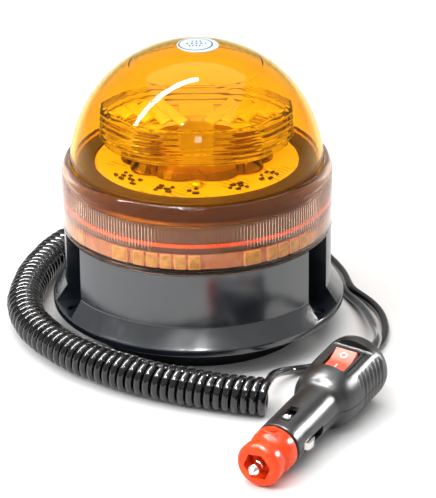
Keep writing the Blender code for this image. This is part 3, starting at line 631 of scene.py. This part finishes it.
def base():
    """Housing with its screw pockets, rubber foot and cable gland."""
    top, wall = HOUSING_HIGH, HOUSING_R
    outside = rounded([(0.0, top), (wall, top), (wall, BEVEL_Z), (FLANGE_R - 0.0008, FLOOR_Z),
                       (FLANGE_R, FLOOR_Z - 0.0010), (FLANGE_R, HOUSING_LOW), (0.0, HOUSING_LOW)], 0.0006)
    inside = [(0.0, 0.060), (0.0592, 0.060), (0.0592, 0.0478), (wall - WALL_T, 0.0464),
              (wall - WALL_T, FLOOR_Z), (0.0, FLOOR_Z)]
    hollow = carve(lathe(inside, 128), *[pocket_wedge(a, 0.0018, 0.010) for a in POCKET_ANGLES],
                   *[rod_mesh(0.0042, 0.010, 0.0515, post_place(a), 24) for a in POST_ANGLES])
    cuts = [hollow]
    for a in POCKET_ANGLES:
        cuts.append(pocket_wedge(a, 0.0, 0.0170))
        cuts.append(slot_hole(a))
    for a in POST_ANGLES:
        cuts.append(rod_mesh(0.0017, 0.0420, 0.060, post_place(a), 20))
    cuts.append(rod_mesh(0.0036, 0.0, 0.030, steps=32))
    gland_way = spin(GLAND_ANGLE) @ shift(0, 0, GLAND_Z) @ spin(90, "Y")
    cuts.append(rod_mesh(0.0043, 0.050, 0.070, gland_way, 32))
    made("base_shell", carve(lathe(outside, 256), *cuts), HOUSING,
         replaces=["base_housing"], sharp=28)
    foot = rounded([(0.0, 0.0016), (0.0495, 0.0016), (0.0495, FOOT_HIGH), (FOOT_R, FOOT_HIGH),
                    (FOOT_R, 0.0), (0.0, 0.0)], 0.0011)
    made("foot_ring", lathe(foot, 256), RUBBER,
         replaces=["rubber_foot"])
    wall_out = wall + GAP
    ribs = []
    for k in range(6):
        z = 0.0786 - 0.0022 * k
        crest, groove = 0.0030 + 0.0001 * k, 0.0025 + 0.0001 * k
        ribs += [(crest, z), (crest, z - 0.0008), (groove, z - 0.0010), (groove, z - 0.0020)]
    inner = wall - WALL_T - GAP - 0.0006
    boot = [(0.0, 0.0796), (0.0026, 0.0796), *ribs, (0.0036, wall_out + 0.0026), (0.0058, wall_out + 0.0024),
            (0.0060, wall_out), (0.0040, wall_out), (0.0040, inner), (0.0062, inner),
            (0.0062, inner - 0.0020), (0.0, inner - 0.0020)]
    made("ribbed_gland", moved(lathe(boot, 64), gland_way), RUBBER,
         replaces=["cable_gland"])


# --- lenses ---

def beads(a, r, z):
    """Fine flutes inside the ring lens and a beaded line round its top edge."""
    depth = 0.0
    if r < BAND_R - 0.0020 and BAND_LOW + 0.0012 < z < FLUTE_TOP:
        depth = FLUTE_DEPTH if z > LAMP_TOP else FLUTE_FAINT
    elif abs(z - BEAD_Z) < BEAD_HALF and r > BAND_R - 0.0010:
        depth = BEAD_DEPTH
    return depth * math.cos(FLUTES * a)


def lenses():
    """Dome, ring lens and label."""
    outside = arc(DOME_R, DOME_Z, 90, 0, 96)
    inside = [(r, z - 0.00025 if abs(r - CREST_R) < 0.0005 else z)
              for r, z in arc(DOME_R - DOME_WALL, DOME_Z, 0, 90, 200, 0.00001, 0.0035)]
    foot = [(DOME_R, 0.0784), (DOME_R + 0.0010, 0.0768), (DOME_R + 0.0010, 0.0752),
            (DOME_R - 0.0004, 0.0752), (DOME_R - DOME_WALL, 0.0772)]
    made("amber_dome_lens", lathe(outside + foot + inside, 192), AMBER,
         replaces=["dome_lens"], sharp=50)
    inner = BAND_R - 0.0024
    neck = DOME_R + 0.0006
    top = BAND_HIGH
    outer = [(neck, top), (neck + 0.0006, top), (neck + 0.0012, top - 0.0004),
             (BAND_R - 0.0012, top - 0.0016), (BAND_R - 0.0006, top - 0.0032),
             (BAND_R - 0.0003, BEAD_Z + 0.0008), (BAND_R - 0.0002, BEAD_Z + 0.0004),
             (BAND_R - 0.0002, BEAD_Z), (BAND_R - 0.0002, BEAD_Z - 0.0004), (BAND_R, BEAD_Z - 0.0008),
             (BAND_R, BAND_LOW + 0.0020), (BAND_R - 0.0003, BAND_LOW + 0.0016), (BAND_R, BAND_LOW + 0.0012),
             (BAND_R, BAND_LOW + 0.0003), (BAND_R - 0.0004, BAND_LOW), (inner, BAND_LOW)]
    rise = [(inner, BAND_LOW + 0.0010)] + [(inner, BAND_LOW + 0.0016 + 0.0015 * k) for k in range(15)]
    lip = [(inner, 0.0774), (neck, 0.0788)]
    made("fluted_ring_lens", lathe(outer + rise + lip, FLUTES * 6, beads), AMBER_RING,
         replaces=["ring_lens"], sharp=60)
    label_top = arc(DOME_R + 0.0006, DOME_Z, 90, LABEL_EDGE, 8)
    label_low = arc(DOME_R + 0.0001, DOME_Z, LABEL_EDGE, 90, 8)
    lean = shift(0, 0, DOME_Z) @ spin(1.0, "Y") @ shift(0, 0, -DOME_Z)
    made("round_label", moved(lathe(label_top + label_low, 96), lean), PAPER,
         replaces=["top_label"])


# --- inside the lenses ---

def drum():
    """Drum behind the ring lens, with its coloured ridge."""
    profile = rounded([(0.0568, 0.0846), (0.0568, 0.0756), (DRUM_R, 0.0736), (DRUM_R, 0.0540),
                       (0.0450, 0.0540), (0.0450, 0.0560), (0.0572, 0.0560), (0.0572, 0.0722),
                       (0.0534, 0.0744), (0.0534, 0.0806), (0.0455, 0.0806), (0.0455, 0.0819),
                       (BOARD_R + GAP, 0.0819), (BOARD_R + GAP, 0.0846)], 0.0004)
    holes = [rod_mesh(0.0018, 0.050, 0.060, post_place(a), 20) for a in POST_ANGLES]
    made("smooth_drum", carve(lathe(profile, 192), *holes), CARRIER,
         replaces=["inner_drum"])
    ridge = rounded([(DRUM_R + 0.0018, 0.0654), (DRUM_R + 0.0018, 0.0644), (DRUM_R + 0.0001, 0.0640),
                     (DRUM_R + 0.0001, 0.0658)], 0.0002)
    made("drum_ridge", lathe(ridge, 192), RIDGE, replaces=["inner_drum"])


def lamp_spots():
    """Angle and width of each lamp round the drum."""
    for group in range(6):
        start = LAMP_START + 60.0 * group
        yield start, LAMP_WIDE
        for k in range(1, 6):
            yield start + 3.4 + 6.2 * k, LAMP_NARROW


def ring_lamps():
    """Film strip and lamps round the drum."""
    strip = lathe([(DRUM_R + 0.0009, 0.0612), (DRUM_R + 0.0009, 0.0542),
                            (DRUM_R + GAP, 0.0542), (DRUM_R + GAP, 0.0612)], 192)
    cases, windows = [], []
    for angle, wide in lamp_spots():
        at = spin(angle) @ shift(DRUM_R, 0, LAMP_Z)
        cases.append(box_mesh((0.0012, wide, LAMP_HEIGHT), at @ shift(0.0014, 0, 0), 0.0002))
        window = (0.0006, wide - 0.0008, LAMP_HEIGHT - 0.0008)
        windows.append(box_mesh(window, at @ shift(0.0019, 0, 0), 0.0001))
        for side in (-1, 1):
            leg = at @ shift(0.0011, side * (wide / 2 + 0.0003), 0)
            windows.append(box_mesh((0.0006, 0.0006, 0.0030), leg))
    for name, mesh, material in (("strip", strip, STRIP), ("cases", joined(*cases), LAMP_CASE),
                                 ("windows", joined(*windows), PHOSPHOR)):
        made(f"ring_lamp_{name}", mesh, material, replaces=["ring_led_board"])


def board():
    """Round board with its small parts."""
    disc = rounded([(0.0, BOARD_Z), (BOARD_R, BOARD_Z), (BOARD_R, BOARD_Z - 0.0016), (0.0, BOARD_Z - 0.0016)],
                   0.0001, 1)
    holes = [rod_mesh(0.0017, 0.077, 0.090, spin(a) @ shift(BOARD_SCREW_RING, 0, 0), 24)
             for a in (30, 150, 270)]
    made("round_board", carve(lathe(disc, 128), *holes), BOARD_MASK,
         replaces=["main_board"])
    parts, ends = [], []
    for k, angle in enumerate(CHIP_ANGLES):
        for j in range(3):
            radius = 0.0375 + 0.0026 * j
            turn = spin(angle + 2.2 * math.sin(7 * k + 3 * j))
            wide = 0.0022 + 0.0008 * math.sin(5 * k + 2 * j)
            at = turn @ shift(radius, 0, BOARD_Z + 0.0005)
            parts.append(box_mesh((0.0013, wide, 0.0009), at, 0.0001))
            for side in (-1, 1):
                pad = turn @ shift(radius, side * (wide / 2 + 0.0002), BOARD_Z + 0.0003)
                ends.append(box_mesh((0.0012, 0.0004, 0.0005), pad))
    made("board_chips", joined(*parts), CHIP, replaces=["main_board"])
    made("board_solder", joined(*ends), SILVER, replaces=["main_board"])


def lobed(radius, depth, count, points):
    """A round outline with lobes."""
    outline = []
    for i in range(points):
        a = 2 * math.pi * i / points
        r = radius - depth * (1 - abs(math.sin(count * (a + math.pi / 2) / 2)))
        outline.append((r * math.cos(a), r * math.sin(a)))
    return outline


def optic_outline(grow):
    """Stretched octagon of the clear optic, its long sides gently bowed."""
    quarter = [(0.0455 + grow, 0.0080 + grow), (0.0335 + grow, 0.0245 + grow), (0.0216 + grow, 0.0310 + grow)]
    half = quarter + [(-x, y) for x, y in reversed(quarter)]
    corners = half + [(-x, -y) for x, y in half]
    bows = (0.0008, 0.0004, 0.0016, 0.0004, 0.0008, 0.0) * 2
    outline = []
    for (ax, ay), (bx, by), bow in zip(corners, corners[1:] + corners[:1], bows):
        length = math.hypot(bx - ax, by - ay)
        nx, ny = (by - ay) / length, -(bx - ax) / length
        for k in range(8):
            t = k / 8
            out = bow * 4 * t * (1 - t)
            outline.append((ax + (bx - ax) * t + nx * out, ay + (by - ay) * t + ny * out))
    return outline


def optic():
    """Lobed pedestal, ribbed optic and the slanted bars inside it."""
    low = BOARD_Z + GAP
    lobes = lobed(PEDESTAL_R, PEDESTAL_LOBE, PEDESTAL_LOBES, 200)
    outline = [(x * PEDESTAL_STRETCH, y) for x, y in lobes]
    crown = [(x * 0.90, y * 0.86) for x, y in outline]
    bore = rod_mesh(PEDESTAL_BORE, 0.080, 0.100, steps=96)
    pedestal = stack([(outline, low), (outline, low + 0.0006), (crown, PEDESTAL_TOP)])
    made("lobed_pedestal", carve(pedestal, bore), PEDESTAL,
         replaces=["optic_pedestal"], sharp=25)
    levels = []
    for i in range(OPTIC_RIBS * 9 + 1):
        z = OPTIC_LOW + (OPTIC_HIGH - OPTIC_LOW) * i / (OPTIC_RIBS * 9)
        below = max(0.0, (OPTIC_WIDEST - z) / (OPTIC_WIDEST - OPTIC_LOW))
        above = max(0.0, (z - OPTIC_WIDEST) / (OPTIC_HIGH - OPTIC_WIDEST))
        rib = 0.00024 * (1 - math.cos(2 * math.pi * i / 9))
        levels.append((optic_outline(-0.0030 * below ** 1.5 - 0.0008 * above - rib), z))
    inside = [(optic_outline(-0.0062), OPTIC_LOW - 0.0020), (optic_outline(-0.0036), OPTIC_HIGH + 0.0020)]
    made("ribbed_optic", carve(stack(levels), stack(inside)), CLEAR,
         replaces=["optic_lens"], sharp=40)
    for side, name in ((-1, "left"), (1, "right")):
        rail = box_mesh((0.0322, 0.0030, 0.0012), shift(side * 0.0251, 0, BAR_Z - 0.0006))
        lean = spin(-side * 24) @ spin(side * 22, "Y")
        bars = []
        for k, length in enumerate(BAR_LENGTHS):
            at = shift(side * (BAR_START + BAR_PITCH * k), 0, BAR_Z)
            bars.append(box_mesh((0.0052, length, 0.0016), at @ lean, 0.0006))
        made(f"barred_reflector_{name}", carve(rail, *bars, how="UNION"), MIRROR,
             replaces=[f"reflector_{name}"])


# --- plug ---

def grip(a, r, z):
    """Curved grip grooves on both sides of the plug's thick end."""
    side = max(0.0, abs(math.sin(a)) - 0.72) / 0.28
    start, end = GRIP_SPAN
    if side <= 0 or not start < z < end or r < 0.0145:
        return 0.0
    lag = 0.0030 * (1 - side)
    edge = min(1.0, (z - start) / 0.002, (end - z) / 0.002) * min(1.0, side * 4)
    return -GRIP_DEPTH * edge * (0.5 - 0.5 * math.cos(2 * math.pi * (z - lag) / GRIP_PITCH))


def shell_profile():
    """The plug's outline from its tail to its mouth, with fine steps where the grip grooves are."""
    curve = rounded([(0.0, BODY_END), (0.0126, BODY_END), (0.0148, BODY_END - 0.0016),
                     (BODY_R, BODY_END - 0.0052), (BODY_R, 0.0780), (0.0152, 0.0700), (0.0148, 0.0648),
                     (0.0141, 0.0615), (0.0129, 0.0592), (0.0112, 0.0577), (BARREL_R, 0.0560),
                     (BARREL_R, 0.0240), (BARREL_R, 0.0204), (BARREL_R, ADAPTER_LENGTH + GAP),
                     (0.0, ADAPTER_LENGTH + GAP)], 0.0010)
    fine = [curve[0]]
    for a, b in zip(curve, curve[1:]):
        parts = max(1, math.ceil((b - a).length / 0.0005)) if a.x > 0.0144 and b.x > 0.0144 else 1
        for k in range(1, parts + 1):
            fine.append(a.lerp(b, k / parts))
    return fine


def plug_shells():
    """Upper and lower half of the plug's body."""
    cavity = lathe([(0.0, 0.0945), (0.0128, 0.0930), (0.0128, 0.0660), (0.0086, 0.0530),
                              (0.0086, 0.0240), (0.0078, 0.0234), (0.0078, 0.0100), (0.0, 0.0100)], 64)
    turn = spin(90, "Y")
    hollow = carve(moved(cavity, turn), box_mesh((0.0330, 0.040, 0.0100), shift(0.0800, 0, FLAT_H + 0.0030)))
    span = FLAT_SPAN[1] - FLAT_SPAN[0]
    middle = (FLAT_SPAN[0] + FLAT_SPAN[1]) / 2
    cuts = [hollow, box_mesh((span, 0.040, 0.010), shift(middle, 0, FLAT_H + 0.005), 0.0012),
            moved(rod_mesh(0.0030, 0.090, 0.104), turn),
            box_mesh((SWITCH_SIZE[0] + 2 * GAP, SWITCH_SIZE[1] + 2 * GAP, 0.012), shift(ROCKER_S, 0, FLAT_H))]
    for angle, end in CONTACTS.values():
        at = spin(angle, "X") @ shift((SLOT_START + end) / 2, 0, 0.0095)
        cuts.append(box_mesh((end - SLOT_START, 0.0046, 0.008), at))
    whole = carve(moved(lathe(shell_profile(), 160, grip), turn), *cuts)
    for name, side in (("upper", 1), ("lower", -1)):
        half = box_mesh((0.120, 0.060, 0.030), shift(0.050, 0, side * (0.015 + GAP / 2)))
        shell = carve(whole.copy(), half, how="INTERSECT")
        made(f"plug_{name}_body", moved(shell, PLUG), PLUG_BLACK,
             replaces=[f"plug_{name}_shell"], sharp=30)


def plug_front():
    """Adapter, centre pin with its spring, and the ball contact on top."""
    sleeve = rounded([(0.0096, ADAPTER_LENGTH), (0.0096, 0.0180), (0.0106, 0.0178), (0.0106, 0.0140),
                      (0.0101, 0.0116), (0.0090, 0.0100), (0.0087, 0.0086), (0.0088, 0.0078),
                      (0.0101, 0.0068), (0.0104, 0.0054), (0.0104, 0.0016), (0.0090, 0.0), (0.0045, 0.0),
                      (0.0045, 0.0044), (0.0062, 0.0046), (0.0062, ADAPTER_LENGTH)], 0.0008)
    corners = [math.radians(60 * k + 20) for k in range(6)]
    hexagon = [(0.0066 * math.cos(a), 0.0066 * math.sin(a)) for a in corners]
    mouth = stack([(hexagon, -0.001), (hexagon, 0.0052)])
    badge = joined(rod_mesh(0.0020, 0.0090, 0.0112, shift(0.0150, 0.0004, 0), 32),
                   box_mesh((0.0010, 0.0068, 0.0010), shift(0.0124, 0.0004, 0.0102), 0.0003))
    body = joined(moved(carve(lathe(sleeve, 128), mouth), spin(90, "Y")), badge)
    made("adapter_sleeve", moved(body, PLUG), RED, body="adapter",
         replaces=["red_adapter"])
    pin = rounded([(0.0, 0.0330), (0.0025, 0.0330), (0.0025, 0.0012), (0.0020, 0.0006), (0.0020, -0.0012),
                   (0.0026, -0.0018), (0.0026, -0.0028), (0.0008, -0.0055), (0.0, -0.0056)], 0.0004)
    made("centre_contact", moved(lathe(pin, 64), ALONG), SILVER, body="centre_pin",
         replaces=["contact_pin"])
    near, far = SPRING_SPAN
    coils = []
    for i in range(SPRING_TURNS * 20 + 1):
        a = 2 * math.pi * i / 20
        z = near + 0.0003 + (far - near - 0.0006) * i / (SPRING_TURNS * 20)
        coils.append(Vector((SPRING_R * math.cos(a), SPRING_R * math.sin(a), z)))
    spring = made("coiled_spring", moved(wire_mesh(coils, SPRING_WIRE), ALONG), STEEL,
                  replaces=["pin_spring"])
    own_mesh(spring)
    angle, end = CONTACTS["top"]
    leaf = box_mesh((end - SLOT_START - 0.0024, 0.0034, 0.0010),
                    shift((SLOT_START + end) / 2 + 0.0002, 0, 0.0070), 0.0002)
    ball = moved(lathe(arc(BALL_R, 0.0100, 90, -90, 20), 48), shift(BALL_S, 0, 0))
    post = rod_mesh(0.0014, 0.0066, 0.0100, shift(BALL_S, 0, 0), 32)
    made("ball_contact", moved(joined(leaf, ball, post), PLUG @ spin(angle, "X")),
         SILVER, body="contact_top", replaces=["side_contact_top"])


def rocker():
    """Rocker key with its two marks."""
    hinge = PLUG @ shift(ROCKER_S, 0, ROCKER_H) @ spin(-ROCKER_LEAN, "Y") @ spin(90, "X")
    half, wide = 0.0072, 0.0053
    top = [(half - 2 * half * i / 16, 0.0043 + 0.0013 * (abs(8 - i) / 8) ** 1.4) for i in range(17)]
    outline = [(-half, 0.0010), (-0.0040, -0.0022), (0.0040, -0.0022), (half, 0.0010), *top]
    small = [(x * 0.97, y - 0.00025 if y > 0.003 else y) for x, y in outline]
    body = stack([(small, -wide), (outline, -wide + 0.0003), (outline, wide - 0.0003), (small, wide)])
    body = joined(body, rod_mesh(0.0009, -0.0061, 0.0061, steps=32))
    made("rocker_key", moved(body, hinge), ROCKER_RED, body="rocker",
         replaces=["switch_rocker"], sharp=30)
    ring = lathe([(0.0017, 0.0003), (0.0017, -0.0006), (0.0012, -0.0006), (0.0012, 0.0003)], 48)
    ring = moved(ring, shift(0.0038, 0.0048, 0) @ spin(8) @ spin(-90, "X"))
    bar = box_mesh((0.0026, 0.0008, 0.0006), shift(-0.0038, 0.0048, 0) @ spin(-8))
    made("rocker_marks", moved(joined(ring, bar), hinge), MARK, body="rocker",
         replaces=["switch_rocker"])


def tail_boot():
    """Strain relief at the plug's tail."""
    boot = rounded([(0.0, 0.1080), (0.0027, 0.1080), (0.0031, 0.1060), (0.0042, BODY_END + 0.0030),
                    (0.0052, BODY_END + 0.0020), (0.0052, BODY_END + GAP), (0.0027, BODY_END + GAP),
                    (0.0027, 0.0910), (0.0, 0.0910)], 0.0005)
    made("tail_boot", moved(lathe(boot, 64), ALONG), RUBBER,
         replaces=["plug_strain_relief"])


# --- cord ---

def smooth_route(points, spacing):
    """Evenly spaced points on the smooth curve through a route's own points."""
    knots = [Vector(p) for p in points]
    knots = [2 * knots[0] - knots[1]] + knots + [2 * knots[-1] - knots[-2]]
    fine = []
    for a, b, c, d in zip(knots, knots[1:], knots[2:], knots[3:]):
        for i in range(20):
            t = i / 20
            fine.append(0.5 * (2 * b + (c - a) * t + (2 * a - 5 * b + 4 * c - d) * t * t
                               + (3 * b - a - 3 * c + d) * t ** 3))
    fine.append(knots[-2])
    travel = [0.0]
    for p, q in zip(fine, fine[1:]):
        travel.append(travel[-1] + (q - p).length)
    count = max(2, round(travel[-1] / spacing))
    route = []
    i = 0
    for k in range(count + 1):
        want = travel[-1] * k / count
        while i < len(fine) - 2 and travel[i + 1] < want:
            i += 1
        part = (want - travel[i]) / max(travel[i + 1] - travel[i], 1e-9)
        route.append(fine[i].lerp(fine[i + 1], min(part, 1.0)))
    return route


def coil_line():
    """Centreline of the curly part, run on at both ends to where the leads join it."""
    route = [Vector(p) for p in COIL_ROUTE]
    lead_in = (Vector(LEAD_TO_BASE[-1][:2]) - route[0]).length
    lead_out = (Vector(LEAD_TO_PLUG[0][:2]) - route[-1]).length
    first = route[0] + (route[0] - route[1]).normalized() * lead_in
    last = route[-1] + (route[-1] - route[-2]).normalized() * lead_out
    return smooth_route([(*p, COIL_R + GAP) for p in [first, *route, last]], 0.0002)


def helix():
    """The turns of the curly part. They touch on the inside of its bend and open on the outside."""
    line = coil_line()
    headings = []
    for i in range(len(line)):
        a, b = line[max(0, i - 12)], line[min(len(line) - 1, i + 12)]
        headings.append(math.atan2(b.y - a.y, b.x - a.x))
    step = (line[1] - line[0]).length
    phases = [0.0]
    for i in range(1, len(line)):
        a, b = headings[max(0, i - 40)], headings[min(len(line) - 1, i + 40)]
        bend = abs(math.remainder(b - a, 2 * math.pi)) / (80 * step)
        pitch = CORD_D * 1.004 / max(0.5, 1 - TURN_R * bend)
        phases.append(phases[-1] + 2 * math.pi * step / pitch)
    turns = round((phases[-1] - math.pi) / (2 * math.pi))
    stretch = (2 * math.pi * turns + math.pi) / phases[-1]
    points = []
    i = 0
    count = int(turns * TURN_POINTS + TURN_POINTS / 2)
    for k in range(count + 1):
        want = 2 * math.pi * k / TURN_POINTS
        while i < len(phases) - 2 and phases[i + 1] * stretch < want:
            i += 1
        low, high = phases[i] * stretch, phases[i + 1] * stretch
        at = line[i].lerp(line[i + 1], min(1.0, max(0.0, (want - low) / (high - low))))
        heading = headings[i]
        outward = Vector((math.sin(heading), -math.cos(heading), 0.0))
        if outward.dot(at) < 0:
            outward.negate()
        slack = 0.00012 * math.sin(want * 0.137) + 0.00008 * math.sin(want * 0.311 + 1.0)
        radius = TURN_R + slack - 0.0002
        points.append(at + Vector((0, 0, radius * math.cos(want))) + outward * radius * math.sin(want))
    return points


def cord_path():
    """The whole cord's centreline, from the gland to the plug."""
    path = smooth_route(LEAD_TO_BASE, 0.0030)[:-1] + helix() + smooth_route(LEAD_TO_PLUG, 0.0030)[1:]
    for _ in range(2):
        path = [path[0]] + [(a + 2 * b + c) / 4 if (a - c).length > 0.0052 else b
                            for a, b, c in zip(path, path[1:], path[2:])] + [path[-1]]
    return path


def supply_cord():
    """The cord as one round curve."""
    path = cord_path()
    curve = bpy.data.curves.new("supply_cord", "CURVE")
    curve.dimensions = "3D"
    curve.bevel_depth = CORD_D / 2
    curve.bevel_resolution = 4
    curve.use_fill_caps = True
    line = curve.splines.new("POLY")
    line.points.add(len(path) - 1)
    for point, at in zip(line.points, path):
        point.co = (*at, 1)
    line.use_smooth = True
    curve.materials.append(JACKET)
    cord = placed("supply_cord", curve)
    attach(cord, "root")
    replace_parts(cord, "curly_lead", "lead_to_base", "lead_to_plug")
    return cord


# --- stage ---

def studio():
    """Pale floor, soft light from above and the left, and narrow lamps for the highlights."""
    mesh = bpy.data.meshes.new("floor")
    side = 6.0
    mesh.from_pydata([(-side, -side, 0), (side, -side, 0), (side, side, 0), (-side, side, 0)], [],
                     [(0, 1, 2, 3)])
    material, tree, shader = new_material("pale_floor")
    tone = spread(tree, noise(tree, 3.0), 0.0, 1.0)
    tree.links.new(blend_colours(tree, tone, (0.80, 0.80, 0.80), (0.83, 0.83, 0.83)),
                   shader.inputs["Base Color"])
    shader.inputs["Roughness"].default_value = 0.7
    mesh.materials.append(material)
    placed("floor", mesh)
    world = bpy.data.worlds.new("studio")
    world.use_nodes = True
    world.node_tree.nodes["Background"].inputs["Color"].default_value = (1.0, 0.99, 0.98, 1)
    world.node_tree.nodes["Background"].inputs["Strength"].default_value = 0.50
    bpy.context.scene.world = world
    # The first two lamps light the scene. The others are only seen reflected in glossy surfaces.
    strip_light("soft_top", (-1.2, 0.1, 1.9), (1.2, 0.1, 1.9), 2.4, 46.0, (0, 0, 0))
    strip_light("left_key", (-1.0, -0.9, 0.9), (-1.1, -0.1, 0.9), 0.70, 16.0, (0, 0, 0.06), gloss=False)
    strip_light("arc_lamp", (-0.812, -0.193, 0.717), (0.034, 0.232, 1.099), 0.085, 26.0, (0, 0, 0.10),
                light=False)
    strip_light("front_lamp", (-0.030, -0.761, 0.817), (0.080, -0.761, 0.817), 0.11, 1.2, (0, 0, 0.08),
                light=False)
    strip_light("shoulder_lamp", (-0.22, -0.56, 0.90), (-0.12, -0.56, 0.90), 0.10, 0.25, (0.05, -0.11, 0.02),
                light=False, spread=9.0)
    strip_light("barrel_lamp", (0.90, 0.16, 0.35), (0.95, 0.28, 0.30), 0.10, 0.05, (0.05, -0.15, 0.02),
                light=False, spread=7.0)


def strip_light(name, start, end, width, power, aim, light=True, gloss=True, spread=180.0):
    """A soft lamp between two points, facing the aim: lighting things, seen in gloss, or both."""
    start, end, aim = Vector(start), Vector(end), Vector(aim)
    run = end - start
    middle = (start + end) / 2
    data = bpy.data.lights.new(name, "AREA")
    data.shape = "RECTANGLE"
    data.size, data.size_y = run.length, width
    data.energy = power
    data.spread = math.radians(spread)
    lamp = placed(name, data)
    lamp.visible_diffuse = light
    lamp.visible_transmission = light
    lamp.visible_glossy = gloss
    back = (middle - aim).normalized()
    across = (run - run.dot(back) * back).normalized()
    turn = Matrix((across, back.cross(across), back)).transposed().to_4x4()
    lamp.matrix_world = shift(*middle) @ turn


def camera():
    """The photograph's viewpoint."""
    data = bpy.data.cameras.new("camera")
    data.lens = CAMERA_LENS
    data.sensor_width = 36.0
    data.clip_start, data.clip_end = 0.05, 30.0
    eye = placed("camera", data)
    rise = math.radians(CAMERA_ELEVATION)
    eye.location = (0, -CAMERA_DISTANCE * math.cos(rise), CAMERA_DISTANCE * math.sin(rise))
    look = Vector(CAMERA_AIM) - eye.location
    eye.rotation_mode = "QUATERNION"
    roll = Euler((0, 0, math.radians(CAMERA_ROLL))).to_quaternion()
    eye.rotation_quaternion = look.to_track_quat("-Z", "Y") @ roll
    bpy.context.scene.camera = eye


finish_cad()
base()
lenses()
drum()
ring_lamps()
board()
optic()
plug_shells()
plug_front()
rocker()
tail_boot()
camera()
CORD = supply_cord()
studio()

bpy.context.scene.view_settings.view_transform = "Standard"

ON_CORD = set(frame["record"]["physics"]["cord_nodes"])
PLUG_PIECES = [NODES[n] for n in sorted(ON_CORD) if not NODES[n].hide_render]
PLUG_PIECES += [o for o in bpy.data.objects if o != CORD and ON_CORD & set(o.get("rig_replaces", []))]
